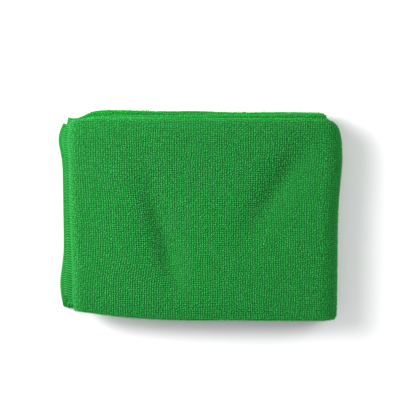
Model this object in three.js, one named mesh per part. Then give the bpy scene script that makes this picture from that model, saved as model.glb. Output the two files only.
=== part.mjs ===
// A microfiber hand towel, folded in thirds across its width and then in half twice along its length.
//
// Millimetres, +Z up. The folded towel lies on its back on z = 0: its length runs back and forth along
// X, its width along Y, and its four groups of three plies lie on each other along Z. The origin is
// the middle of the outline of the face that it lies on.
//
// The towel is one sheet. Its folded width is a section of three plies, and that section is carried
// back and forth along the folded length. Both lines are worked out by one function from a table with
// a row for each layer, which also says how far the layer has slipped. A last table pushes the neat
// packet out of true.

import * as THREE from "three";

// The cloth
const CLOTH = 1.6; // thickness of a ply, with the pile of both faces
const AIR = 0.4; // between two plies that lie on each other
const PLY_STEP = CLOTH + AIR;
const GROUP_STEP = 3 * PLY_STEP;
const THICKNESS = 4 * GROUP_STEP - AIR;

// The packet
const WIDTH = 181; // from the free ends on the left to the thick outer fold on the right
const HEIGHT = 134.5; // from fold to fold across the towel
const RIGHT_FOLDS_X = WIDTH / 2 - THICKNESS / 2; // middle of the inner and the outer fold on the right
const LEFT_FOLD_X = -80.5; // middle of the fold on the left
const UPPER_FOLD_Y = HEIGHT / 2 - PLY_STEP - CLOTH / 2; // middle of the fold round the tucked edge
const LOWER_FOLD_Y = (PLY_STEP + CLOTH - HEIGHT) / 2; // middle of the tight fold
const STEPS_ALONG = 16;
const STEPS_ACROSS = 6;

// The layers of the folded length, in the order in which the cloth runs through them. bend is the
// number of facets in the fold that leads to the next layer, and short is how far that fold stops
// short. left and right are how far the layer has slipped towards +Y at its two ends, and wave is the
// height of its slow waves.
const GROUPS = [
  { layer: "second", level: 1, bend: 5, freeEnd: -88, short: 2.3, left: 2.7, right: 1.6, wave: 0.5 },
  { layer: "third", level: 2, bend: 5, left: -0.9, right: 1.6, wave: -0.3 },
  { layer: "top", level: 3, bend: 8, left: -0.9, right: -1.4, wave: 0.3 },
  { layer: "lowest", level: 0, freeEnd: -WIDTH / 2, left: -2.4, right: -1.4, wave: -0.6 },
];
const WAVE_LENGTH = 62;

// The plies of the folded width, in the order in which the cloth runs through them. setBack is how far
// the free ends of a ply stop short, a shift that fades along the towel.
const THIRDS = [
  { layer: "tucked in", level: 0, bend: 4, setBack: 1.6 },
  { layer: "outside", level: 1, bend: 5, setBack: 0 },
  { layer: "closing", level: -1, setBack: -0.7 },
];
const SET_BACK_REACH = 18;

// How the packet is pushed out of true. A push is strongest at x, y and fades over its reach along
// and across its long way, which is turned by turn degrees from X. dx, dy and dz are how far it
// moves the cloth, and low and high its shares at the bottom and at the top of the packet. Where a
// row leaves them out, the turn and the moves are 0 and the shares are 1.
const PUSHES = [
  { at: "upper left corner", x: -95, y: 69, along: 11, across: 11, dx: 2.2, dy: -2 },
  { at: "upper right corner", x: 94, y: 69, along: 8, across: 8, dx: -2.5, dy: -2.5 },
  { at: "lower left slope", x: -102, y: -72, along: 46, across: 40, dy: 7 },
  { at: "lower right corner", x: 93, y: -68, along: 6, across: 6, dx: -0.3, dy: 0.4 },
  { at: "back folds, left", x: -53, y: 68, along: 30, across: 30, dy: 1.2, high: 0 },
  { at: "back corner, left", x: -92, y: 68, along: 14, across: 20, dx: 1, dy: -6, high: 0 },
  { at: "back step, left", x: -80, y: 68, along: 7, across: 20, dy: -4, high: 0 },
  { at: "back corner, right", x: 92, y: 68, along: 8, across: 20, dy: -6, high: 0.3 },
  { at: "bulge, upper right", x: 91, y: 40, along: 24, across: 24, dx: 2.5 },
  { at: "free ends, upper", x: -91, y: 54, along: 13, across: 13, dx: -4, high: 0 },
  { at: "free ends, upper corner", x: -94, y: 66, along: 6, across: 12, dy: 5, high: 0 },
  { at: "free ends, lower", x: -91, y: -52, along: 18, across: 18, dx: -3.5, high: 0 },
  { at: "left fold, lower", x: -87, y: -62, along: 20, across: 50, dx: 3, low: 0 },
  { at: "upper edge", x: 0, y: 69, along: 150, across: 8, dz: -2.6, low: 0 },
  { at: "lower edge", x: 0, y: -68, along: 150, across: 8, dz: -1.6, low: 0 },
  { at: "right edge", x: 92, y: 0, along: 9, across: 80, dz: -0.4, low: 0 },
  { at: "left trough", x: -26, y: -4, along: 34, across: 8.5, turn: 106, dz: -5.6, low: 0 },
  { at: "left trough, foot", x: -19, y: -28, along: 16, across: 8.5, turn: 106, dz: -2.4, low: 0 },
  { at: "left trough, far side", x: -14, y: 0, along: 40, across: 15, turn: 106, dz: -1.2, low: 0 },
  { at: "right trough", x: 50, y: 20, along: 32, across: 9.5, turn: 58, dz: -4.6, low: 0 },
  { at: "right trough, head", x: 66, y: 44, along: 20, across: 14, turn: 58, dz: -1.2, low: 0 },
  { at: "right trough, far side", x: 62, y: 12, along: 36, across: 15, turn: 58, dz: -1.6, low: 0 },
  { at: "left swell", x: -52, y: -6, along: 40, across: 14, turn: 106, dz: 1.2, low: 0 },
];

// Places from one end to the other, a little closer together near the ends, where corners are round.
function stops(from, to, steps) {
  const shares = Array.from({ length: steps + 1 }, (_, step) => step / steps);
  return shares.map((t) => from + (to - from) * (t / 2 + (1 - Math.cos(Math.PI * t)) / 4));
}

// How far a layer has slipped sideways at a place along it. Its waves fade towards its two ends, so
// that it meets the next layer in their fold.
function slipOf({ level, left = 0, right = 0, wave = 0 }, along, from, to) {
  const share = THREE.MathUtils.clamp((along - from) / (to - from), 0, 1);
  const swing = Math.sin((2 * Math.PI * along) / WAVE_LENGTH + 2 * level);
  return THREE.MathUtils.lerp(left, right, share) + 4 * share * (1 - share) * wave * swing;
}

// The line of a cloth that runs back and forth over the given places: a straight row at the height of
// each layer, and half a circle from one row to the next. A free end runs on past the first place.
// Each station has its place and height, the direction in which the right side of the cloth looks, the
// slip and the set-back there, how far along the cloth it is, and whether it is inside a row.
function backAndForth(layers, places, heading, step) {
  const stations = [];
  const [from, to] = [places[0], places.at(-1)];
  let start = heading > 0 ? from : to;
  const add = (station) => {
    const before = stations.at(-1) ?? { ...station, gone: 0 };
    const gone = before.gone + Math.hypot(station.along - before.along, station.height - before.height);
    stations.push({ ...station, gone });
  };
  layers.forEach((layer, index) => {
    const forward = index % 2 === 0 ? heading : -heading;
    const height = layer.level * step;
    const between = (forward > 0 ? places : places.toReversed()).slice(1, -1);
    const end = (forward > 0 ? to : from) - forward * (layer.short ?? 0);
    const row = [start, ...between, end];
    const loose = layer.freeEnd === undefined ? [] : [(layer.freeEnd + from) / 2, layer.freeEnd];
    const whole = index === 0 ? [...loose.toReversed(), ...row] : [...row, ...loose];
    const { setBack = 0 } = layer;
    whole.forEach((along, place) => {
      const slip = slipOf(layer, along, from, to);
      const inRow = place > 0 && place < whole.length - 1;
      add({ along, height, lookAlong: 0, lookUp: forward, slip, setBack, inRow });
    });

    const next = layers[index + 1];
    const rise = next ? (next.level - layer.level) * step : 0;
    for (let facet = 1; facet < layer.bend; facet++) {
      const angle = (Math.PI * facet) / layer.bend;
      add({
        along: end + forward * Math.abs(rise / 2) * Math.sin(angle),
        height: height + (rise / 2) * (1 - Math.cos(angle)),
        lookAlong: -Math.sign(rise) * Math.sin(angle),
        lookUp: forward * Math.cos(angle),
        slip: slipOf(layer, end, from, to),
        setBack: THREE.MathUtils.lerp(setBack, next.setBack ?? 0, facet / layer.bend),
        inRow: false,
      });
    }
    start = end;
  });
  return stations;
}

// The closed outline of the folded width: out along the right side of the cloth, back along the wrong
// side. deep is the depth of a point on the side of the middle of the three plies where the outside
// third lies. Only the folds and the edges follow the slip of a layer: the places inside a row stay in
// line from ply to ply, so that plies which lie on each other keep their distance.
function widthOutline() {
  const middle = backAndForth(THIRDS, stops(LOWER_FOLD_Y, UPPER_FOLD_Y, STEPS_ACROSS), -1, PLY_STEP);
  const side = (station, half) => ({
    y: station.along + half * station.lookAlong,
    deep: station.height + half * station.lookUp,
    setBack: station.setBack,
    follow: station.inRow ? 0 : 1,
  });
  return [
    ...middle.map((station) => side(station, CLOTH / 2)),
    ...middle.toReversed().map((station) => side(station, -CLOTH / 2)),
  ];
}

// The sum of all pushes on a point of the neat packet.
function pushed(point) {
  const moved = point.clone();
  for (const push of PUSHES) {
    const { turn = 0, dx = 0, dy = 0, dz = 0, low = 1, high = 1 } = push;
    const angle = THREE.MathUtils.degToRad(turn);
    const x = point.x - push.x;
    const y = point.y - push.y;
    const along = (x * Math.cos(angle) + y * Math.sin(angle)) / push.along;
    const across = (y * Math.cos(angle) - x * Math.sin(angle)) / push.across;
    const share = THREE.MathUtils.lerp(low, high, point.z / THICKNESS);
    const strength = share * Math.exp(-along * along - across * across);
    moved.addScaledVector(new THREE.Vector3(dx, dy, dz), strength);
  }
  return moved;
}

// The two triangles of four corners that go round. The cut between them runs the same way in plan on
// every ply.
function cutQuad(points, [a, b, c, d]) {
  const rising = (points[c].x - points[a].x) * (points[c].y - points[a].y) > 0;
  return rising ? [a, b, c, a, c, d] : [a, b, d, b, c, d];
}

function towel() {
  const outline = widthOutline();
  const stations = backAndForth(GROUPS, stops(LEFT_FOLD_X, RIGHT_FOLDS_X, STEPS_ALONG), 1, GROUP_STEP);
  const lift = (GROUP_STEP - AIR) / 2;
  const length = stations.at(-1).gone;
  const points = stations.flatMap((station) => {
    const ends = [station.gone, length - station.gone];
    const nearEnd = ends.reduce((sum, away) => sum + Math.exp(-away / SET_BACK_REACH), 0);
    return outline.map(({ y, deep, setBack, follow }) => {
      const x = station.along + deep * station.lookAlong + setBack * nearEnd;
      const z = lift + station.height + deep * station.lookUp;
      return pushed(new THREE.Vector3(x, y + follow * station.slip, z));
    });
  });

  const round = outline.length;
  const faces = [];
  for (let ring = 0; ring < stations.length - 1; ring++) {
    for (let here = 0; here < round; here++) {
      const next = (here + 1) % round;
      const [near, far] = [ring * round, (ring + 1) * round];
      faces.push(...cutQuad(points, [near + here, far + here, far + next, near + next]));
    }
  }
  const last = points.length - round;
  for (let here = 0; here < round / 2 - 1; here++) {
    const [next, backNext, back] = [here + 1, round - 2 - here, round - 1 - here];
    faces.push(...cutQuad(points, [here, next, backNext, back]));
    faces.push(...cutQuad(points, [last + here, last + back, last + backNext, last + next]));
  }

  const geometry = new THREE.BufferGeometry().setFromPoints(points).setIndex(faces);
  geometry.computeBoundingBox();
  const middle = geometry.boundingBox.getCenter(new THREE.Vector3());
  geometry.translate(-middle.x, -middle.y, 0);
  geometry.computeVertexNormals();
  return geometry;
}

const greenTerry = new THREE.MeshStandardMaterial({ color: 0x23893c, roughness: 0.95, metalness: 0 });

const foldedTowel = new THREE.Group();
const sheet = new THREE.Mesh(towel(), greenTerry);
sheet.name = "towel";
foldedTowel.add(sheet);

export default foldedTowel;
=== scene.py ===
"""Folded hand towel of green microfiber terry: its visual model.

Metres, +Z up. The packet lies on its back on z = 0, its face up, its folded length along X.
The sheet, its loops and its edge stitches are all worked out from one rule: a section of three
plies, the folded width, is carried back and forth along the folded length, and a table of soft
pushes takes the neat packet out of true.
"""

import bpy
import numpy as np
from bpy.props import FloatProperty, FloatVectorProperty, IntProperty, PointerProperty
from mathutils import Matrix, Vector


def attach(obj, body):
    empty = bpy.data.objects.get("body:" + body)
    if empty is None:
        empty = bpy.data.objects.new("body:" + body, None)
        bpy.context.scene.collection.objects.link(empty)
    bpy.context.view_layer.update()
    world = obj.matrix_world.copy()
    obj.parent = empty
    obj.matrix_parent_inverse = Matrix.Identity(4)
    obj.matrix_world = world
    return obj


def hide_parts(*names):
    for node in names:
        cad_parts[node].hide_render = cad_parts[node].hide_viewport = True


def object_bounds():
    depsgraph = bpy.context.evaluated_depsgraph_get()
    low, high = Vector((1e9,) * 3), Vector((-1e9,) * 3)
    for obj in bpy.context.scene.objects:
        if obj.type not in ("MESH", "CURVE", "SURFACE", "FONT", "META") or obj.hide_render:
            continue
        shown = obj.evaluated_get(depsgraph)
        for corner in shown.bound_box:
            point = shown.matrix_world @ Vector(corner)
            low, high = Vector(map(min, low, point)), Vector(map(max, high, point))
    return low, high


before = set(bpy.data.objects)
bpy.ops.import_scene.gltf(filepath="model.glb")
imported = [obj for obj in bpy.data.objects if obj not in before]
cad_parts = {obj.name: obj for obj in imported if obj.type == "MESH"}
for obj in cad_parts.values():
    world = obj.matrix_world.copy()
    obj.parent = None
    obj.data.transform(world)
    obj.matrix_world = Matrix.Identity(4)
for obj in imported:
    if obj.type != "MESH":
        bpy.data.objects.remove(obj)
CAD_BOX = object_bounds()

bl_info = {
    "name": "Folded terry hand towel",
    "version": (1, 0, 0),
    "blender": (4, 5, 0),
    "location": "3D View > Sidebar > Towel",
    "description": "Makes a folded terry hand towel with its pile, its edge stitches and a studio",
    "category": "Object",
}

SEED = 4127
MM = 0.001
NODE = "towel"
BODY = "root"

# The folded length, in the order in which the cloth runs through it. level is the height of a
# layer in steps, free_end the place where a loose end stops, short how far its next fold stops
# short, left and right how far the layer has slipped towards +Y at its two ends, and wave the
# height of its slow waves, in millimetres.
LENGTH_LAYERS = [
    {"layer": "second", "level": 1, "free_end": -88, "short": 2.3, "left": 2.7, "right": 1.6, "wave": 0.5},
    {"layer": "third", "level": 2, "left": -0.9, "right": 1.6, "wave": -0.3},
    {"layer": "top", "level": 3, "left": -0.9, "right": -1.4, "wave": 0.3},
    {"layer": "lowest", "level": 0, "free_end": -90.5, "left": -2.4, "right": -1.4, "wave": -0.6},
]

# The folded width, in the order in which the cloth runs through it. set_back is how far the free
# ends of a ply stop short, in millimetres.
WIDTH_LAYERS = [
    {"layer": "tucked in", "level": 0, "set_back": 1.6},
    {"layer": "outside", "level": 1, "set_back": 0.0},
    {"layer": "closing", "level": -1, "set_back": -0.7},
]
TOP_LAYER = 2  # the place of the top layer in LENGTH_LAYERS
WAVE_LENGTH = 62.0  # of the slow waves, in millimetres
SET_BACK_REACH = 18.0  # over which a set-back fades along the towel, in millimetres

# How the packet is pushed out of true, in millimetres and degrees. A push is strongest at x, y
# and fades over its reach along and across its long way, which is turned by turn from X. low and
# high are its shares at the bottom and at the top of the packet.
PUSH_COLUMNS = ("x", "y", "along", "across", "turn", "dx", "dy", "dz", "low", "high")
PUSHES = {
    "upper left corner": (-95, 69, 11, 11, 0, 2.2, -2.0, 0, 1, 1),
    "upper right corner": (94, 69, 8, 8, 0, -2.5, -2.5, 0, 1, 1),
    "lower left slope": (-102, -72, 46, 40, 0, 0, 7, 0, 1, 1),
    "lower right corner": (93, -68, 6, 6, 0, -0.3, 0.4, 0, 1, 1),
    "back folds, left": (-53, 68, 30, 30, 0, 0, 1.2, 0, 1, 0),
    "back corner, left": (-92, 68, 14, 20, 0, 1, -6, 0, 1, 0),
    "back step, left": (-80, 68, 7, 20, 0, 0, -4, 0, 1, 0),
    "back corner, right": (92, 68, 8, 20, 0, 0, -6, 0, 1, 0.3),
    "bulge, upper right": (91, 40, 24, 24, 0, 2.5, 0, 0, 1, 1),
    "free ends, upper": (-91, 54, 13, 13, 0, -4, 0, 0, 1, 0),
    "free ends, upper corner": (-94, 66, 6, 12, 0, 0, 5, 0, 1, 0),
    "free ends, lower": (-91, -52, 18, 18, 0, -3.5, 0, 0, 1, 0),
    "left fold, lower": (-87, -62, 20, 50, 0, 3, 0, 0, 0, 1),
    "upper edge": (0, 69, 150, 8, 0, 0, 0, -2.6, 0, 1),
    "lower edge": (0, -68, 150, 8, 0, 0, 0, -1.6, 0, 1),
    "right edge": (92, 0, 9, 80, 0, 0, 0, -0.4, 0, 1),
    "left trough": (-26, -4, 34, 8.5, 106, 0, 0, -5.6, 0, 1),
    "left trough, foot": (-19, -28, 16, 8.5, 106, 0, 0, -2.4, 0, 1),
    "left trough, far side": (-14, 0, 40, 15, 106, 0, 0, -1.2, 0, 1),
    "right trough": (50, 20, 32, 9.5, 58, 0, 0, -4.6, 0, 1),
    "right trough, head": (66, 44, 20, 14, 58, 0, 0, -1.2, 0, 1),
    "right trough, far side": (62, 12, 36, 15, 58, 0, 0, -1.6, 0, 1),
    "left swell": (-52, -6, 40, 14, 106, 0, 0, 1.2, 0, 1),
}

SEAM = 3.2 * MM  # width of the overlocked seam, which has no pile

# How far the pile goes on where the cloth turns inward: near_bend from the two bends of the
# width, past_fold from the left fold on the layer below the top one, second_end and lowest_end in
# from the seams of the two free ends, and wrong_side in from them on the cloth's wrong side.
PILE_REACH = {
    "near_bend": 6 * MM,
    "past_fold": 7 * MM,
    "second_end": 14 * MM,
    "lowest_end": 10 * MM,
    "wrong_side": 5 * MM,
}

# Slow drift of ribs and of loops: how far a wave is bent, in radians, and the millimetres of
# cloth to a radian of the wave, of its bend, and of the two parts of a wave that runs aslant.
RIB_DRIFT = (3, (7, 11, 5, 9))
LOOP_DRIFT = (2, (6, 13, 4, -8))

# How unevenly loops are scaled along, aside and up, on the faces and in the folds, the limits of
# that, and how far they turn from the diagonal, in radians, and lean, as a share of their height.
FACE_UNEVEN = (0.08, 0.08, 0.06)
FOLD_UNEVEN = (0.12, 0.12, 0.32)
SCALE_LIMITS = (0.7, 1.45)
TURN_SPREAD = 0.45
LEAN_SPREAD = 0.14
LEAN_LIMIT = 0.4
STRAY_ALONG = 0.7  # share of the unevenness with which loops stray from rib to rib
STRAY_LIMIT = 0.4  # farthest stray of a loop, as a share of the pitch
BENDS_ACROSS = ((0.02, 0.98), (1.02, 1.98))  # just inside the two bends of the width, in layers

# A tube's cell of its map: the size and corner of its wall, the middles and radius of its ends
CELL_WALL = (0.84, 0.66)
CELL_CORNER = (0.08, 0.06)
CELL_ENDS = ((0.28, 0.87), (0.72, 0.87))
CELL_END_RADIUS = 0.09

SUNK = 0.12 * MM  # how deep a loop's feet stand in the ground cloth
FLOOR_GAP = 0.02 * MM  # least height of pile and thread over the floor
TINY = 0.02 * MM  # step by which directions on the cloth are found
BOX_SAMPLES = (420, 900)  # places along and across by which the folded sheet's box is found
RIB_SAMPLES = 1600  # places along by which the ribs are spaced
FLOOR_HALF = 6.0  # metres from the middle of the floor to its edge


class TowelFoldSettings(bpy.types.PropertyGroup):
    """Sizes of the folded packet"""

    ply: FloatProperty(
        name="Ply",
        description="Thickness of the cloth with the pile of both faces",
        default=1.6 * MM, min=0.0005, max=0.004, subtype="DISTANCE", unit="LENGTH", precision=5,
    )
    air: FloatProperty(
        name="Air",
        description="Distance between two plies that lie on each other",
        default=0.4 * MM, min=0.0, max=0.003, subtype="DISTANCE", unit="LENGTH", precision=5,
    )
    width: FloatProperty(
        name="Packet width",
        description="From the free ends to the thick outer fold",
        default=181 * MM, min=0.1, max=0.4, subtype="DISTANCE", unit="LENGTH", precision=4,
    )
    height: FloatProperty(
        name="Packet height",
        description="From fold to fold across the towel",
        default=134.5 * MM, min=0.08, max=0.3, subtype="DISTANCE", unit="LENGTH", precision=4,
    )
    left_fold: FloatProperty(
        name="Left fold",
        description="Place of the middle of the fold on the left",
        default=-80.5 * MM, min=-0.2, max=0.0, subtype="DISTANCE", unit="LENGTH", precision=4,
    )
    ground: FloatProperty(
        name="Ground cloth",
        description="Thickness of the knitted ground that carries the loops",
        default=0.5 * MM, min=0.0002, max=0.0015, subtype="DISTANCE", unit="LENGTH", precision=5,
    )


class TowelPileSettings(bpy.types.PropertyGroup):
    """Sizes of the terry loops"""

    rib_pitch: FloatProperty(
        name="Rib pitch",
        description="Distance between two ribs of loops, along the towel",
        default=1.55 * MM, min=0.001, max=0.004, subtype="DISTANCE", unit="LENGTH", precision=5,
    )
    loop_pitch: FloatProperty(
        name="Loop pitch",
        description="Distance between two loops of a rib, across the towel",
        default=1.33 * MM, min=0.001, max=0.004, subtype="DISTANCE", unit="LENGTH", precision=5,
    )
    top: FloatProperty(
        name="Pile top",
        description="Height of the loops over the middle of the cloth",
        default=1.05 * MM, min=0.0005, max=0.003, subtype="DISTANCE", unit="LENGTH", precision=5,
    )
    span: FloatProperty(
        name="Loop span",
        description="Distance between the feet of a loop",
        default=0.55 * MM, min=0.0002, max=0.003, subtype="DISTANCE", unit="LENGTH", precision=5,
    )
    yarn: FloatProperty(
        name="Yarn",
        description="Thickness of the yarn of a loop",
        default=0.8 * MM, min=0.0001, max=0.002, subtype="DISTANCE", unit="LENGTH", precision=5,
    )
    unevenness: FloatProperty(
        name="Unevenness",
        description="How far loops stray from their places, as a share of the pitch",
        default=0.135, min=0.0, max=0.5, subtype="FACTOR",
    )
    drift: FloatProperty(
        name="Drift",
        description="How far ribs drift slowly from their places, as a share of the pitch",
        default=0.115, min=0.0, max=0.5, subtype="FACTOR",
    )
    seed: IntProperty(
        name="Seed",
        description="Start of the random draws of the loops",
        default=SEED, min=0,
    )


class TowelEdgeSettings(bpy.types.PropertyGroup):
    """Sizes of the overlock stitches"""

    width: FloatProperty(
        name="Stitch width",
        description="How far the stitches reach in from the cut edge",
        default=SEAM, min=0.001, max=0.01, subtype="DISTANCE", unit="LENGTH", precision=5,
    )
    pitch: FloatProperty(
        name="Stitch pitch",
        description="Distance between two stitches along the edge",
        default=1.8 * MM, min=0.0005, max=0.01, subtype="DISTANCE", unit="LENGTH", precision=5,
    )
    slant: FloatProperty(
        name="Slant",
        description="How far a stitch runs along the edge, in stitches",
        default=0.9, min=0.0, max=3.0,
    )
    thread: FloatProperty(
        name="Thread",
        description="Thickness of the bulked thread",
        default=0.68 * MM, min=0.0001, max=0.002, subtype="DISTANCE", unit="LENGTH", precision=5,
    )


class TowelFinishSettings(bpy.types.PropertyGroup):
    """Colours of the terry"""

    # The tips are painted lighter and the feet darker: painted light on the tops of the loops and painted
    # shade down between them.
    tip: FloatVectorProperty(
        name="Loop tips",
        description="Colour of the tops of the loops",
        default=(0.026, 0.372, 0.071), size=3, min=0.0, max=1.0, subtype="COLOR",
    )
    root: FloatVectorProperty(
        name="Loop feet",
        description="Colour of the feet of the loops",
        default=(0.006, 0.318, 0.032), size=3, min=0.0, max=1.0, subtype="COLOR",
    )
    # Loops in the folds and at the free ends are painted brighter and more saturated than the same cloth
    # on the face: painted light on the strip of folds, with their feet darker as painted shade. Not a
    # colour of their own.
    fold_tip_painted_lit: FloatVectorProperty(
        name="Loop tips in folds",
        description="Colour of the tops of the loops that the outer layer keeps from wear and dust",
        default=(0.005, 0.53, 0.036), size=3, min=0.0, max=1.0, subtype="COLOR",
    )
    fold_feet_painted_lit: FloatVectorProperty(
        name="Loop feet in folds",
        description="Colour of the feet of the same loops",
        default=(0.005, 0.35, 0.022), size=3, min=0.0, max=1.0, subtype="COLOR",
    )
    # The ground is painted darker than the loops' yarn: painted shade under the pile.
    ground: FloatVectorProperty(
        name="Ground cloth",
        description="Colour of the knitted ground",
        default=(0.006, 0.185, 0.022), size=3, min=0.0, max=1.0, subtype="COLOR",
    )
    thread: FloatVectorProperty(
        name="Edge thread",
        description="Colour of the overlock thread",
        default=(0.035, 0.46, 0.08), size=3, min=0.0, max=1.0, subtype="COLOR",
    )


class TowelStageSettings(bpy.types.PropertyGroup):
    """Floor, light and camera"""

    floor: FloatVectorProperty(
        name="Floor",
        description="Colour of the floor",
        default=(0.93, 0.93, 0.935), size=3, min=0.0, max=1.0, subtype="COLOR",
    )
    key: FloatProperty(
        name="Key lamp",
        description="Light that the main lamp throws on to the towel, in watts per square metre",
        default=2.1, min=0.0, max=20.0,
    )
    near: FloatProperty(
        name="Near lamp",
        description="Light that a near lamp on the key side adds, in watts per square metre",
        default=3.0, min=0.0, max=20.0,
    )
    key_side: FloatProperty(
        name="Key side",
        description="Angle of the main and the near lamp from the upper edge towards the left",
        default=np.radians(66.0), min=-1.57, max=1.57, subtype="ANGLE", unit="ROTATION",
    )
    second: FloatProperty(
        name="Second lamp",
        description="Light that the second lamp throws on to the towel, in watts per square metre",
        default=1.4, min=0.0, max=20.0,
    )
    second_side: FloatProperty(
        name="Second side",
        description="Angle of the second lamp from the upper edge towards the left",
        default=np.radians(-58.0), min=-1.57, max=1.57, subtype="ANGLE", unit="ROTATION",
    )
    lamp_height: FloatProperty(
        name="Lamp height",
        description="Angle of the lamps over the floor",
        default=np.radians(32.0), min=0.0, max=1.57, subtype="ANGLE", unit="ROTATION",
    )
    near_distance: FloatProperty(
        name="Near distance",
        description="From the near lamp to the middle of the towel",
        default=0.42, min=0.3, max=5.0, subtype="DISTANCE", unit="LENGTH",
    )
    lamp_softness: FloatProperty(
        name="Lamp softness",
        description="Angle that a lamp fills, seen from the towel",
        default=np.radians(28.0), min=0.0, max=3.0, subtype="ANGLE", unit="ROTATION",
    )
    fill: FloatProperty(
        name="Fill light",
        description="Strength of the white surroundings",
        default=0.5, min=0.0, max=5.0,
    )
    tilt: FloatProperty(
        name="Camera tilt",
        description="Angle of the camera away from straight above, towards the upper edge",
        default=np.radians(8.0), min=0.0, max=1.5, subtype="ANGLE", unit="ROTATION",
    )
    distance: FloatProperty(
        name="Camera distance",
        description="From the camera to the point that it looks at",
        default=1.2, min=0.3, max=10.0, subtype="DISTANCE", unit="LENGTH",
    )
    view_width: FloatProperty(
        name="View width",
        description="Width of the view at the distance of the packet",
        default=0.2632, min=0.05, max=5.0, subtype="DISTANCE", unit="LENGTH",
    )
    look_at: FloatVectorProperty(
        name="Look at",
        description="The point that the camera looks at",
        default=(0.0, 0.0105, 0.012), size=3, subtype="XYZ", unit="LENGTH",
    )


# Lines and surfaces


def back_and_forth(layers, start, end, heading, step, row_steps, bend_steps):
    """Line of a cloth that runs back and forth between two places.

    Each layer is a straight row at its level times step, and half a circle joins it to the next.
    One row of the result for each station: length so far, place along, height, the two parts of
    the direction in which the right side looks, the layer, a whole number on a row that counts up
    through a bend, how far the layer slips sideways there, and how far its free ends stop short.
    """
    parts = []
    ends = (start, end)
    last = start if heading > 0 else end
    for order, layer in enumerate(layers):
        forward = heading if order % 2 == 0 else -heading
        first = last
        last = (end if forward > 0 else start) - forward * layer.get("short", 0) * MM
        if "free_end" in layer:
            loose = layer["free_end"] * MM
            first, last = (loose, last) if order == 0 else (first, loose)
        height = layer["level"] * step
        along = np.linspace(first, last, row_steps + 1)
        still = np.zeros_like(along)
        share = np.interp(along, ends, (0, 1))
        wave = layer.get("wave", 0) * np.sin(along / MM * 2 * np.pi / WAVE_LENGTH + 2 * layer["level"])
        slip = np.interp(share, (0, 1), (layer.get("left", 0), layer.get("right", 0)))
        slip = (slip + 4 * share * (1 - share) * wave) * MM
        set_back = still + layer.get("set_back", 0) * MM
        rows = [along, still + height, still, still + forward, still + order, slip, set_back]
        parts.append(np.stack(rows, 1))
        if order + 1 < len(layers):
            rise = (layers[order + 1]["level"] - layer["level"]) * step
            share = np.linspace(0, 1, bend_steps + 1)[1:-1]
            angle = np.pi * share
            after = layers[order + 1].get("set_back", 0) * MM
            parts.append(
                np.stack(
                    [
                        last + forward * abs(rise / 2) * np.sin(angle),
                        height + rise / 2 * (1 - np.cos(angle)),
                        -np.sign(rise) * np.sin(angle),
                        forward * np.cos(angle),
                        order + share,
                        slip[-1] + 0 * share,
                        set_back[-1] + (after - set_back[-1]) * share,
                    ],
                    1,
                )
            )
    line = np.concatenate(parts)
    steps = np.hypot(*np.diff(line[:, :2], axis=0).T)
    return np.column_stack([np.concatenate([[0.0], np.cumsum(steps)]), line])


def on_line(line, length):
    """The columns of a line at each length, straight between its stations."""
    return [np.interp(length, line[:, 0], column) for column in line.T[1:]]


def pushed(x, y, z, thickness):
    """Each point moved by the sum of all pushes, which fade as a bell curve from their middles."""
    moved = [x.copy(), y.copy(), z.copy()]
    for values in PUSHES.values():
        push = dict(zip(PUSH_COLUMNS, values))
        turn = np.radians(push["turn"])
        from_x, from_y = x / MM - push["x"], y / MM - push["y"]
        along = (from_x * np.cos(turn) + from_y * np.sin(turn)) / push["along"]
        across = (from_y * np.cos(turn) - from_x * np.sin(turn)) / push["across"]
        share = push["low"] + (push["high"] - push["low"]) * z / thickness
        strength = share * np.exp(-along * along - across * across) * MM
        for axis, amount in enumerate((push["dx"], push["dy"], push["dz"])):
            moved[axis] += amount * strength
    return np.stack(moved, -1)


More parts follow.
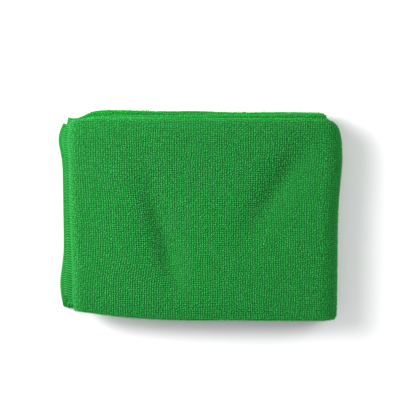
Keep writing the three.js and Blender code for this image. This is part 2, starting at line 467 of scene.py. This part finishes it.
class FoldedCloth:
    """The folded sheet as a function of the length along it, the length across it and the lift
    off its middle towards its right side."""

    def __init__(self, sizes, row_steps=(1, 1), bend_steps=(24, 16)):
        ply_step = sizes.ply + sizes.air
        group_step = 3 * ply_step
        self.thickness = 4 * group_step - sizes.air
        self.base = (group_step - sizes.air) / 2
        right = sizes.width / 2 - self.thickness / 2
        upper = sizes.height / 2 - ply_step - sizes.ply / 2
        lower = (ply_step + sizes.ply - sizes.height) / 2
        self.along = back_and_forth(
            LENGTH_LAYERS, sizes.left_fold, right, 1, group_step, row_steps[0], bend_steps[0]
        )
        self.across = back_and_forth(
            WIDTH_LAYERS, lower, upper, -1, ply_step, row_steps[1], bend_steps[1]
        )
        self.shift = np.zeros(3)
        self.pile_lift = half = sizes.ply / 2
        s = np.linspace(0, self.along[-1, 0], BOX_SAMPLES[0])[:, None]
        t = np.linspace(0, self.across[-1, 0], BOX_SAMPLES[1])[None]
        both = np.concatenate([self.point(s, t, half), self.point(s, t, -half)]).reshape(-1, 3)
        middle = (both.min(0) + both.max(0)) / 2
        wanted = (np.array(CAD_BOX[0]) + np.array(CAD_BOX[1])) / 2
        self.shift[:2] = (wanted - middle)[:2]

    def point(self, s, t, lift):
        """The section at t, lifted, carried to s along the folded length, and pushed."""
        s, t, lift = np.broadcast_arrays(s, t, lift)
        y, deep, look_y, look_deep, _, _, set_back = on_line(self.across, t)
        x, height, look_x, look_z, _, slip, _ = on_line(self.along, s)
        y = y + lift * look_y + slip
        deep = deep + lift * look_deep
        reach = SET_BACK_REACH * MM
        near_end = np.exp(-s / reach) + np.exp((s - self.along[-1, 0]) / reach)
        z = self.base + height + deep * look_z
        return pushed(x + deep * look_x + set_back * near_end, y, z, self.thickness) + self.shift

    def axes(self, s, t, lift):
        """Unit vectors along the sheet, across it and out of its right side, by small steps."""
        here = self.point(s, t, lift)
        ways = [
            self.point(s + TINY, t, lift) - self.point(s - TINY, t, lift),
            self.point(s, t + TINY, lift) - self.point(s, t - TINY, lift),
            self.point(s, t, lift + TINY) - here,
        ]
        units = [way / np.maximum(np.linalg.norm(way, axis=-1, keepdims=True), 1e-12) for way in ways]
        return here, *units

    def layer_along(self, s):
        """The layer of the folded length at s, a whole number on a row."""
        return np.interp(s, self.along[:, 0], self.along[:, 5])

    def layer_across(self, t):
        """The ply of the folded width at t, a whole number on a row."""
        return np.interp(t, self.across[:, 0], self.across[:, 5])


def new_piece(name, points, faces, material, uvs=None, attributes=None, smooth=True):
    """A mesh object at the origin from an array of points and a list of arrays of faces, each
    array with its own number of corners. uvs holds maps of one row for each corner."""
    mesh = bpy.data.meshes.new(name)
    corners = np.concatenate([part.ravel() for part in faces]).astype(np.int32)
    counts = np.concatenate([np.full(len(part), part.shape[1]) for part in faces]).astype(np.int32)
    starts = np.concatenate([[0], np.cumsum(counts)[:-1]]).astype(np.int32)
    mesh.vertices.add(len(points))
    mesh.vertices.foreach_set("co", np.asarray(points, np.float32).ravel())
    mesh.loops.add(len(corners))
    mesh.loops.foreach_set("vertex_index", corners)
    mesh.polygons.add(len(counts))
    mesh.polygons.foreach_set("loop_start", starts)
    mesh.polygons.foreach_set("loop_total", counts)
    mesh.polygons.foreach_set("use_smooth", np.full(len(counts), smooth))
    for map_name, uv in (uvs or {}).items():
        layer = mesh.uv_layers.new(name=map_name, do_init=False)
        layer.uv.foreach_set("vector", np.asarray(uv, np.float32).ravel())
    for attribute_name, values in (attributes or {}).items():
        made = mesh.attributes.new(attribute_name, "FLOAT", "POINT")
        made.data.foreach_set("value", np.asarray(values, np.float32).ravel())
    mesh.update(calc_edges=True)
    if mesh.validate():
        raise RuntimeError(f"{name} has faces that can't be")
    mesh.materials.append(material)
    piece = bpy.data.objects.new(name, mesh)
    bpy.context.scene.collection.objects.link(piece)
    return piece


def tube_template(path, radius, sides):
    """A closed tube round a path in the plane of its first and third axes.

    Ring by ring, each point is the path plus the radius times a circle in the plane square to the
    path. Returns the points, the quads of the wall, the polygons of the two ends, and the place of
    each wall corner on a map of the unrolled tube.
    """
    rings = len(path)
    tangent = np.gradient(path, axis=0)
    tangent /= np.linalg.norm(tangent, axis=1, keepdims=True)
    side = np.array([0.0, 1.0, 0.0])
    out = np.cross(side, tangent)
    angle = 2 * np.pi * (np.arange(sides) + 0.5) / sides
    circle = (
        out[:, None] * -np.cos(angle)[None, :, None] + side[None, None] * np.sin(angle)[None, :, None]
    )
    points = path[:, None] + circle * radius[:, None, None]
    ring, turn = np.meshgrid(np.arange(rings - 1), np.arange(sides), indexing="ij")
    after = (turn + 1) % sides
    walls = np.stack(
        [ring * sides + turn, ring * sides + after, (ring + 1) * sides + after, (ring + 1) * sides + turn],
        -1,
    ).reshape(-1, 4)
    ends = np.stack([np.arange(sides)[::-1], (rings - 1) * sides + np.arange(sides)])
    map_wall = np.stack(
        [
            np.stack([turn, turn + 1, turn + 1, turn], -1).reshape(-1, 4) / sides,
            np.stack([ring, ring, ring + 1, ring + 1], -1).reshape(-1, 4) / (rings - 1),
        ],
        -1,
    )
    return points.reshape(-1, 3), walls, ends, map_wall


def repeated(count, template):
    """The faces of a tube template repeated count times, and their map, in which every copy has a
    cell of its own: its wall below, its two ends side by side above."""
    points, walls, ends, map_wall = template
    offset = (np.arange(count) * len(points))[:, None, None]
    all_walls = (walls[None] + offset).reshape(-1, walls.shape[1])
    all_ends = (ends[None] + offset).reshape(-1, ends.shape[1])
    cells = int(np.ceil(np.sqrt(count)))
    corner = np.stack([np.arange(count) % cells, np.arange(count) // cells], -1)
    in_cell = map_wall * CELL_WALL + CELL_CORNER
    wall_uv = (corner[:, None, None] + in_cell[None]) / cells
    sides = ends.shape[1]
    turn = 2 * np.pi * np.arange(sides) / sides
    disc = np.stack([np.cos(turn), np.sin(turn)], -1) * CELL_END_RADIUS
    discs = disc[None] + np.array(CELL_ENDS)[:, None]
    end_uv = (corner[:, None, None] + discs[None]) / cells
    return [all_walls, all_ends], np.concatenate([wall_uv.reshape(-1, 2), end_uv.reshape(-1, 2)])


def carried(template_points, here, axes, scales, lean):
    """Copies of a template, one for each place: its three axes are turned into the axes given,
    scaled, and sheared by lean in proportion to the height."""
    along, side, up = axes
    local = template_points[None] * scales[:, None, :]
    tilt = np.maximum(local[..., 2:3], 0) * lean[:, None, :]
    local = local + np.concatenate([tilt, np.zeros_like(tilt[..., :1])], -1)
    return (
        here[:, None]
        + local[..., 0:1] * along[:, None]
        + local[..., 1:2] * side[:, None]
        + local[..., 2:3] * up[:, None]
    )


def threads(paths, radius, sides):
    """Closed tubes round many paths of the same number of points: each point of a path carries a
    ring square to the path there, its start turned towards the way across the path's plane."""
    count, rings = paths.shape[:2]
    tangent = np.gradient(paths, axis=1)
    tangent /= np.linalg.norm(tangent, axis=-1, keepdims=True)
    flat = np.cross(paths[:, 1] - paths[:, 0], paths[:, -1] - paths[:, 0])[:, None]
    flat = np.where(np.linalg.norm(flat, axis=-1, keepdims=True) > 1e-12, flat, [[[0.0, 0.0, 1.0]]])
    side = flat - tangent * np.sum(flat * tangent, -1, keepdims=True)
    side /= np.linalg.norm(side, axis=-1, keepdims=True)
    out = np.cross(side, tangent)
    angle = 2 * np.pi * (np.arange(sides) + 0.5) / sides
    circle = (
        out[:, :, None] * -np.cos(angle)[:, None] + side[:, :, None] * np.sin(angle)[:, None]
    )
    points = paths[:, :, None] + radius * circle
    straight = np.zeros((rings, 3))
    straight[:, 0] = np.arange(rings)
    faces, uv = repeated(count, tube_template(straight, np.ones(rings), sides))
    return points.reshape(-1, 3), faces, uv


# Finishes


def node(tree, kind, **inputs):
    """A node of that kind with values for its named inputs."""
    made = tree.nodes.new(kind)
    for name, value in inputs.items():
        made.inputs[name.replace("_", " ")].default_value = value
    return made


def terry_material(name, colour_for, bump_scale, bump_height, sheen=0.18, gloss=0.18):
    """Matt cloth finish: a base colour from the tree that colour_for builds, a soft sheen, and
    fine fibres as bump."""
    material = bpy.data.materials.new(name)
    material.use_nodes = True
    tree = material.node_tree
    shader = tree.nodes["Principled BSDF"]
    shader.inputs["Roughness"].default_value = 0.92
    shader.inputs["Specular IOR Level"].default_value = gloss
    shader.inputs["Sheen Weight"].default_value = sheen
    shader.inputs["Sheen Roughness"].default_value = 0.5
    shader.inputs["Sheen Tint"].default_value = (0.25, 1.0, 0.35, 1.0)
    place = tree.nodes.new("ShaderNodeTexCoord")
    tree.links.new(colour_for(tree, place), shader.inputs["Base Color"])
    fibres = node(tree, "ShaderNodeTexNoise", Scale=bump_scale, Detail=3.0, Roughness=0.6)
    tree.links.new(place.outputs["Object"], fibres.inputs["Vector"])
    bump = node(tree, "ShaderNodeBump", Strength=0.6, Distance=bump_height)
    tree.links.new(fibres.outputs["Fac"], bump.inputs["Height"])
    tree.links.new(bump.outputs["Normal"], shader.inputs["Normal"])
    return material


def mixed(tree, factor, first, second):
    """A colour mix; first and second are sockets or colours, factor is a socket."""
    mix = tree.nodes.new("ShaderNodeMix")
    mix.data_type = "RGBA"
    tree.links.new(factor, mix.inputs["Factor"])
    for socket, value in ((mix.inputs[6], first), (mix.inputs[7], second)):
        if isinstance(value, bpy.types.NodeSocket):
            tree.links.new(value, socket)
        else:
            socket.default_value = (*value, 1.0)
    return mix.outputs[2]


def mapped(tree, value, low, high, new_low, new_high):
    """The value of a socket mapped from one range to another, and kept inside it."""
    made = tree.nodes.new("ShaderNodeMapRange")
    for name, number in (
        ("From Min", low), ("From Max", high), ("To Min", new_low), ("To Max", new_high)
    ):
        made.inputs[name].default_value = number
    tree.links.new(value, made.inputs["Value"])
    return made.outputs["Result"]


def loop_colours(tip, root, paler=0.03):
    """Loops painted from light tips to dark feet by height: painted light on their tops and painted
    shade down between them. Also a tone of its own for each loop, and slow drifts over the cloth.
    paler is how far towards white the palest loops go."""

    def build(tree, place):
        height = tree.nodes.new("ShaderNodeAttribute")
        height.attribute_name = "height"
        tone = tree.nodes.new("ShaderNodeAttribute")
        tone.attribute_name = "tone"
        # Painted shade: a loop runs from the dark feet colour at its foot to the light tip colour at its
        # top.
        rise = mapped(tree, height.outputs["Fac"], 0.15, 0.95, 0.0, 1.0)
        body = mixed(tree, rise, tuple(root), tuple(tip))
        pale = tuple(min(1.0, 1.25 * value + paler) for value in tip)
        deep = tuple(0.62 * value for value in tip)
        lighter = mixed(tree, mapped(tree, tone.outputs["Fac"], 0.5, 1.0, 0.0, 0.6), body, pale)
        darker = mixed(tree, mapped(tree, tone.outputs["Fac"], 0.0, 0.5, 0.45, 0.0), lighter, deep)
        drift = node(tree, "ShaderNodeTexNoise", Scale=34.0, Detail=2.0)
        tree.links.new(place.outputs["Object"], drift.inputs["Vector"])
        cloudy = mapped(tree, drift.outputs["Fac"], 0.35, 0.7, 0.0, 0.15)
        return mixed(tree, cloudy, darker, tuple(0.8 * value for value in tip))

    return build


def plain_colours(colour, change):
    """One colour that drifts a little over the cloth."""

    def build(tree, place):
        drift = node(tree, "ShaderNodeTexNoise", Scale=420.0, Detail=2.0)
        tree.links.new(place.outputs["Object"], drift.inputs["Vector"])
        amount = mapped(tree, drift.outputs["Fac"], 0.3, 0.7, 0.0, 1.0)
        return mixed(tree, amount, tuple(colour), tuple(change * value for value in colour))

    return build


# Pieces


def cloth_grid(cloth, half):
    """The closed surface of the ground cloth: its right side and back over the wrong side, as a
    ring of points at each station of the folded length, with both ends closed."""
    s = cloth.along[:, 0]
    t = cloth.across[:, 0]
    ring_t = np.concatenate([t, t[::-1]])
    ring_lift = np.concatenate([np.full(len(t), half), np.full(len(t), -half)])
    all_s = np.repeat(s[:, None], len(ring_t), 1)
    all_t = np.repeat(ring_t[None], len(s), 0)
    points = cloth.point(all_s, all_t, np.repeat(ring_lift[None], len(s), 0)).reshape(-1, 3)
    round_count = len(ring_t)
    station, turn = np.meshgrid(np.arange(len(s) - 1), np.arange(round_count), indexing="ij")
    after = (turn + 1) % round_count
    near, far = station * round_count, (station + 1) * round_count
    walls = np.stack([near + turn, far + turn, far + after, near + after], -1).reshape(-1, 4)
    here = np.arange(len(t) - 1)
    back, back_next = round_count - 1 - here, round_count - 2 - here
    start = np.stack([here, here + 1, back_next, back], -1)
    last = len(points) - round_count
    end = np.stack([last + here, last + back, last + back_next, last + here + 1], -1)

    margin = 0.02
    between_sides = 6 * MM
    u = margin + (1 - 2 * margin) * s / s[-1]
    v_length = np.concatenate([t, t[-1] + between_sides + t])
    v = margin + (1 - 2 * margin) * v_length / (v_length[-1] + between_sides)
    v_after = np.append(v[1:], 1 - margin)
    wall_uv = np.stack(
        [
            np.stack([u[station], u[station + 1], u[station + 1], u[station]], -1),
            np.stack([v[turn], v[turn], v_after[turn], v_after[turn]], -1),
        ],
        -1,
    ).reshape(-1, 2)
    strip = 0.35 * margin
    low, high = v[here], v[here + 1]
    start_u = np.stack([strip + 0 * low, strip + 0 * low, 0 * low, 0 * low], -1)
    start_uv = np.stack([start_u, np.stack([low, high, high, low], -1)], -1).reshape(-1, 2)
    end_u = 1 - np.stack([strip + 0 * low, 0 * low, 0 * low, strip + 0 * low], -1)
    end_uv = np.stack([end_u, np.stack([low, low, high, high], -1)], -1).reshape(-1, 2)
    return points, [walls, start, end], np.concatenate([wall_uv, start_uv, end_uv])


def slow_waves(first, second, bend, reaches):
    """The sum of two sines: a wave along the first place, its phase bent to and fro along the
    second, and a wave that runs aslant. reaches are in millimetres to a radian."""
    wave, sway, aslant_second, aslant_first = (reach * MM for reach in reaches)
    bent = np.sin(first / wave + bend * np.sin(second / sway))
    return bent + np.sin(second / aslant_second + first / aslant_first)


def rib_grid(cloth, pile):
    """Even places over the sheet: rows across it a loop apart, and along each row as many ribs as
    its own folded path holds, so that outer plies of a bend carry more of them. Ribs of all rows
    line up in the middle of the top layer."""
    length, width = cloth.along[-1, 0], cloth.across[-1, 0]
    t = np.arange(SEAM, width - SEAM, pile.loop_pitch)
    stations = np.linspace(SEAM, length - SEAM, RIB_SAMPLES)
    paths = cloth.point(stations[:, None], t[None], cloth.pile_lift)
    steps = np.linalg.norm(np.diff(paths, axis=0), axis=-1)
    gone = np.concatenate([np.zeros((1, len(t))), np.cumsum(steps, axis=0)])
    on_top = np.flatnonzero(cloth.layer_along(stations) == TOP_LAYER)
    middle = on_top[len(on_top) // 2]
    rows = []
    for path in gone.T:
        first = path[middle] % pile.rib_pitch
        rows.append(np.interp(np.arange(first, path[-1], pile.rib_pitch), path, stations))
    return np.concatenate(rows), np.repeat(t, [len(row) for row in rows])


def loop_places(cloth, pile, rng):
    """Where loops stand: a grid of ribs and loops over the sheet, each a little off its place,
    kept only where the folded packet shows its right side, or both sides near its free ends."""
    length, width = cloth.along[-1, 0], cloth.across[-1, 0]
    s, t = rib_grid(cloth, pile)
    drift, wander = pile.drift, pile.unevenness
    slow_s = drift * slow_waves(s, t, *RIB_DRIFT)
    slow_t = drift * slow_waves(t, s, *LOOP_DRIFT)
    spread = (STRAY_ALONG * wander, wander)
    quick_s, quick_t = rng.normal(0, spread, (s.size, 2)).clip(-STRAY_LIMIT, STRAY_LIMIT).T
    s = (s + (slow_s + quick_s) * pile.rib_pitch).clip(SEAM, length - SEAM)
    t = (t + (slow_t + quick_t) * pile.loop_pitch).clip(SEAM, width - SEAM)
    group = cloth.layer_along(s)
    third = cloth.layer_across(t)
    outside = (third > 0.0) & (third < 2.0)
    round_bends = np.zeros(t.shape, bool)
    for bend in BENDS_ACROSS:
        start, end = np.interp(bend, cloth.across[:, 5], cloth.across[:, 0])
        round_bends |= (t > start - PILE_REACH["near_bend"]) & (t < end + PILE_REACH["near_bend"])
    last_below_top = cloth.along[cloth.along[:, 5] == TOP_LAYER - 1, 0].max()
    left_fold = last_below_top - PILE_REACH["past_fold"]
    outer = (s > left_fold) & (outside | round_bends)
    inner = (s <= left_fold) & round_bends
    near_second = s < SEAM + PILE_REACH["second_end"]
    near_lowest = s > length - SEAM - PILE_REACH["lowest_end"]
    ends = near_second | near_lowest
    right = cloth.point(s, t, 0.0)[:, 0] > 0
    top = group < TOP_LAYER + 0.05  # and the start of the outer fold
    chosen = {
        "loops_top_left": outer & top & ~right,
        "loops_top_right": outer & top & right,
        "loops_back_right": outer & ~top & right,
        "loops_back_left": outer & ~top & ~right,
        "loops_folds": inner,
        "loops_free_ends": ends & ~outer & ~inner,
    }
    places = {name: (s[kept], t[kept], np.ones(kept.sum())) for name, kept in chosen.items()}
    wrong = (s < SEAM + PILE_REACH["wrong_side"]) | (s > length - SEAM - PILE_REACH["wrong_side"])
    whole = places["loops_free_ends"]
    places["loops_free_ends"] = tuple(
        np.concatenate(pair) for pair in zip(whole, (s[wrong], t[wrong], -np.ones(wrong.sum())))
    )
    return places


def loop_template(pile, foot, shares, swell):
    """A terry loop as a tube of three sides: an arch between two feet, its yarn thinner at the
    feet. shares are the stations on the arch, swell the yarn's thickness at each."""
    share = np.array(shares)
    rise = pile.top - foot - pile.yarn / 2
    path = np.stack(
        [
            -pile.span / 2 * np.cos(np.pi * share),
            0 * share,
            rise * np.sin(np.pi * share) ** 0.75,
        ],
        1,
    )
    return tube_template(path, pile.yarn / 2 * np.array(swell), 3)


class TOWEL_OT_cloth(bpy.types.Operator):
    """Knitted ground of the towel, one thin sheet in all its folds"""

    bl_idname = "towel.cloth"
    bl_label = "Ground cloth"

    def execute(self, context):
        sizes = context.scene.towel_fold
        finish = context.scene.towel_finish
        cloth = FoldedCloth(sizes, row_steps=(50, 38), bend_steps=(14, 8))
        points, faces, uv = cloth_grid(cloth, sizes.ground / 2)
        # The ground's dark green is painted shade under the pile.
        material = terry_material(
            "terry_ground", plain_colours(finish.ground, 0.7), bump_scale=2600.0, bump_height=0.0002
        )
        piece = new_piece("towel_cloth", points, faces, material, uvs={"OFBake": uv})
        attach(piece, BODY)
        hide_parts(NODE)
        return {"FINISHED"}


class TOWEL_OT_loops(bpy.types.Operator):
    """Terry loops on every part of the cloth that shows"""

    bl_idname = "towel.loops"
    bl_label = "Terry loops"

    def execute(self, context):
        sizes, pile = context.scene.towel_fold, context.scene.towel_pile
        rng = np.random.default_rng(pile.seed)
        cloth = FoldedCloth(sizes)
        finish = context.scene.towel_finish
        outer = terry_material(
            "terry_loops",
            loop_colours(finish.tip, finish.root),
            bump_scale=5200.0,
            bump_height=0.00012,
        )
        # The fold colours are a lit copy of the face's terry: painted light on the folds and free ends.
        inner = terry_material(
            "terry_loops_folds",
            loop_colours(finish.fold_tip_painted_lit, finish.fold_feet_painted_lit, paler=0.01),
            bump_scale=5200.0,
            bump_height=0.00012,
            sheen=0.04,
            gloss=0.06,
        )
        foot = sizes.ground / 2 - SUNK
        fine = loop_template(pile, foot, (0.0, 0.3, 0.7, 1.0), (0.72, 1.0, 1.0, 0.72))
        plain = loop_template(pile, foot, (0.0, 0.5, 1.0), (0.72, 1.15, 0.72))
        for name, places in loop_places(cloth, pile, rng).items():
            template = plain if name.startswith("loops_back") else fine
            in_folds = name in ("loops_folds", "loops_free_ends")
            material, uneven = (inner, FOLD_UNEVEN) if in_folds else (outer, FACE_UNEVEN)
            self.make(name, cloth, foot, template, places, rng, material, uneven)
        return {"FINISHED"}

    def make(self, name, cloth, foot, template, places, rng, material, uneven):
        """One piece of loops: a copy of the template at each place, out of the right side where
        face is 1 and out of the wrong side where it is -1."""
        s, t, face = places
        count = s.size
        here, along, across, up = cloth.axes(s, t, face * foot)
        up = up * face[:, None]
        turn = np.pi / 4 + rng.normal(0, TURN_SPREAD, count)
        ahead = np.cos(turn)[:, None] * along + np.sin(turn)[:, None] * across
        ahead -= up * np.sum(ahead * up, -1, keepdims=True)
        ahead /= np.linalg.norm(ahead, axis=-1, keepdims=True)
        side = np.cross(up, ahead)
        scales = rng.normal(1, uneven, (count, 3)).clip(*SCALE_LIMITS)
        lean = rng.normal(0, LEAN_SPREAD, (count, 2)).clip(-LEAN_LIMIT, LEAN_LIMIT)
        points = carried(template[0], here, (ahead, side, up), scales, lean)
        points[..., 2] = np.maximum(points[..., 2], FLOOR_GAP)
        height = np.repeat((template[0][:, 2] / template[0][:, 2].max()).clip(0, 1)[None], count, 0)
        tone = np.repeat(rng.random(count)[:, None], len(template[0]), 1)
        faces, uv = repeated(count, template)
        piece = new_piece(
            name,
            points.reshape(-1, 3),
            faces,
            material,
            uvs={"OFBake": uv},
            attributes={"height": height, "tone": tone},
        )
        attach(piece, BODY)


class TOWEL_OT_stitches(bpy.types.Operator):
    """Overlock stitches round the cut edges of the sheet"""

    bl_idname = "towel.stitches"
    bl_label = "Edge stitches"

    def execute(self, context):
        sizes, edge = context.scene.towel_fold, context.scene.towel_edge
        cloth = FoldedCloth(sizes)
        length, width = cloth.along[-1, 0], cloth.across[-1, 0]
        off = sizes.ground / 2 + 0.3 * edge.thread
        # inset from the edge, lift off the middle of the cloth and share of a stitch along the
        # edge, for each turn of the thread from the right side round to the wrong side
        turns = np.array(
            [
                (edge.width, 0.0, 0.0),
                (0.92 * edge.width, off, 0.04),
                (0.1 * edge.width, off, 0.42),
                (-0.12 * edge.width, 0.0, 0.5),
                (0.1 * edge.width, -off, 0.58),
                (0.92 * edge.width, -off, 0.96),
                (edge.width, 0.0, 1.0),
            ]
        )
        runs = []
        for total, other, swapped in ((length, width, False), (width, length, True)):
            count = int(total / edge.pitch) - 2
            at = edge.pitch * (1 + np.arange(count))[:, None] + turns[:, 2] * edge.slant * edge.pitch
            for inset in (turns[:, 0], other - turns[:, 0]):
                inset = np.broadcast_to(inset, at.shape)
                inside = inset.clip(0, other)
                s, t = (inside, at) if swapped else (at, inside)
                s, t = np.clip(s, TINY, length - TINY), np.clip(t, TINY, width - TINY)
                here, along, across, _ = cloth.axes(s, t, np.broadcast_to(turns[:, 1], at.shape))
                out = along if swapped else across
                runs.append(here + out * (inset - inside)[..., None])
        paths = np.concatenate(runs)
        material = terry_material(
            "overlock_thread",
            plain_colours(context.scene.towel_finish.thread, 0.75),
            bump_scale=5200.0,
            bump_height=0.0001,
        )
        points, faces, uv = threads(paths, edge.thread / 2, 3)
        points[:, 2] = np.maximum(points[:, 2], FLOOR_GAP)
        piece = new_piece("edge_stitches", points, faces, material, uvs={"OFBake": uv})
        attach(piece, BODY)
        return {"FINISHED"}


def lamp(name, kind, strength, side, stage):
    """A round soft lamp that throws its strength square on to the towel from its side: a sun is
    even over the whole floor, an area lamp stands at its distance and fades away from it."""
    light = bpy.data.lights.new(name, kind)
    if kind == "SUN":
        light.angle = stage.lamp_softness
        light.energy = strength
    else:
        light.shape = "DISK"
        light.size = 2 * stage.near_distance * np.tan(stage.lamp_softness / 2)
        light.energy = np.pi * stage.near_distance**2 * strength
    made = bpy.data.objects.new(name, light)
    made.visible_camera = False
    bpy.context.scene.collection.objects.link(made)
    level = np.cos(stage.lamp_height)
    towards = Vector((-np.sin(side) * level, np.cos(side) * level, np.sin(stage.lamp_height)))
    turned = (-towards).to_track_quat("-Z", "Z").to_matrix().to_4x4()
    made.matrix_world = Matrix.Translation(towards * stage.near_distance) @ turned


class TOWEL_OT_stage(bpy.types.Operator):
    """Pale floor, soft studio light and the camera"""

    bl_idname = "towel.stage"
    bl_label = "Studio"

    def execute(self, context):
        scene, stage = context.scene, context.scene.towel_stage
        half = FLOOR_HALF
        material = bpy.data.materials.new("studio_floor")
        material.use_nodes = True
        shader = material.node_tree.nodes["Principled BSDF"]
        shader.inputs["Base Color"].default_value = (*stage.floor, 1.0)
        shader.inputs["Roughness"].default_value = 0.8
        shader.inputs["Specular IOR Level"].default_value = 0.1
        corners = np.array([[-half, -half, 0], [half, -half, 0], [half, half, 0], [-half, half, 0]])
        floor = new_piece("studio_floor", corners, [np.array([[0, 1, 2, 3]])], material, smooth=False)

        world = bpy.data.worlds.new("studio")
        scene.world = world
        world.use_nodes = True
        background = world.node_tree.nodes["Background"]
        background.inputs["Color"].default_value = (1.0, 1.0, 1.0, 1.0)
        background.inputs["Strength"].default_value = stage.fill

        lamp("studio_key", "SUN", stage.key, stage.key_side, stage)
        lamp("studio_near", "AREA", stage.near, stage.key_side, stage)
        lamp("studio_second", "SUN", stage.second, stage.second_side, stage)

        lens = bpy.data.cameras.new("camera")
        lens.sensor_width = 36.0
        lens.lens = 36.0 * stage.distance / stage.view_width
        lens.clip_start, lens.clip_end = 0.01, 50.0
        lens.dof.use_dof = False
        camera = bpy.data.objects.new("camera", lens)
        scene.collection.objects.link(camera)
        tilt = stage.tilt
        back = Vector((0.0, np.sin(tilt), np.cos(tilt)))
        up = Vector((0.0, np.cos(tilt), -np.sin(tilt)))
        right = Vector((1.0, 0.0, 0.0))
        turned = Matrix((right, up, back)).transposed().to_4x4()
        camera.matrix_world = Matrix.Translation(Vector(stage.look_at) + back * stage.distance) @ turned
        scene.camera = camera
        scene.view_settings.view_transform = "Standard"
        scene.view_settings.look = "None"
        return {"FINISHED"}


class TOWEL_PT_panel(bpy.types.Panel):
    """Settings and pieces of the towel"""

    bl_idname = "TOWEL_PT_panel"
    bl_label = "Folded towel"
    bl_space_type = "VIEW_3D"
    bl_region_type = "UI"
    bl_category = "Towel"

    def draw(self, context):
        scene = context.scene
        for group, operators in (
            (scene.towel_fold, ("towel.cloth",)),
            (scene.towel_pile, ("towel.loops",)),
            (scene.towel_edge, ("towel.stitches",)),
            (scene.towel_finish, ()),
            (scene.towel_stage, ("towel.stage",)),
        ):
            box = self.layout.box()
            for name in group.__annotations__:
                box.prop(group, name)
            for operator in operators:
                box.operator(operator)


CLASSES = (
    TowelFoldSettings,
    TowelPileSettings,
    TowelEdgeSettings,
    TowelFinishSettings,
    TowelStageSettings,
    TOWEL_OT_cloth,
    TOWEL_OT_loops,
    TOWEL_OT_stitches,
    TOWEL_OT_stage,
    TOWEL_PT_panel,
)
SETTINGS = {
    "towel_fold": TowelFoldSettings,
    "towel_pile": TowelPileSettings,
    "towel_edge": TowelEdgeSettings,
    "towel_finish": TowelFinishSettings,
    "towel_stage": TowelStageSettings,
}


def register():
    for made in CLASSES:
        bpy.utils.register_class(made)
    for name, group in SETTINGS.items():
        setattr(bpy.types.Scene, name, PointerProperty(type=group))


def unregister():
    for name in SETTINGS:
        delattr(bpy.types.Scene, name)
    for made in reversed(CLASSES):
        bpy.utils.unregister_class(made)


def main():
    register()
    bpy.ops.towel.cloth()
    bpy.ops.towel.loops()
    bpy.ops.towel.stitches()
    bpy.ops.towel.stage()


if __name__ == "__main__":
    main()
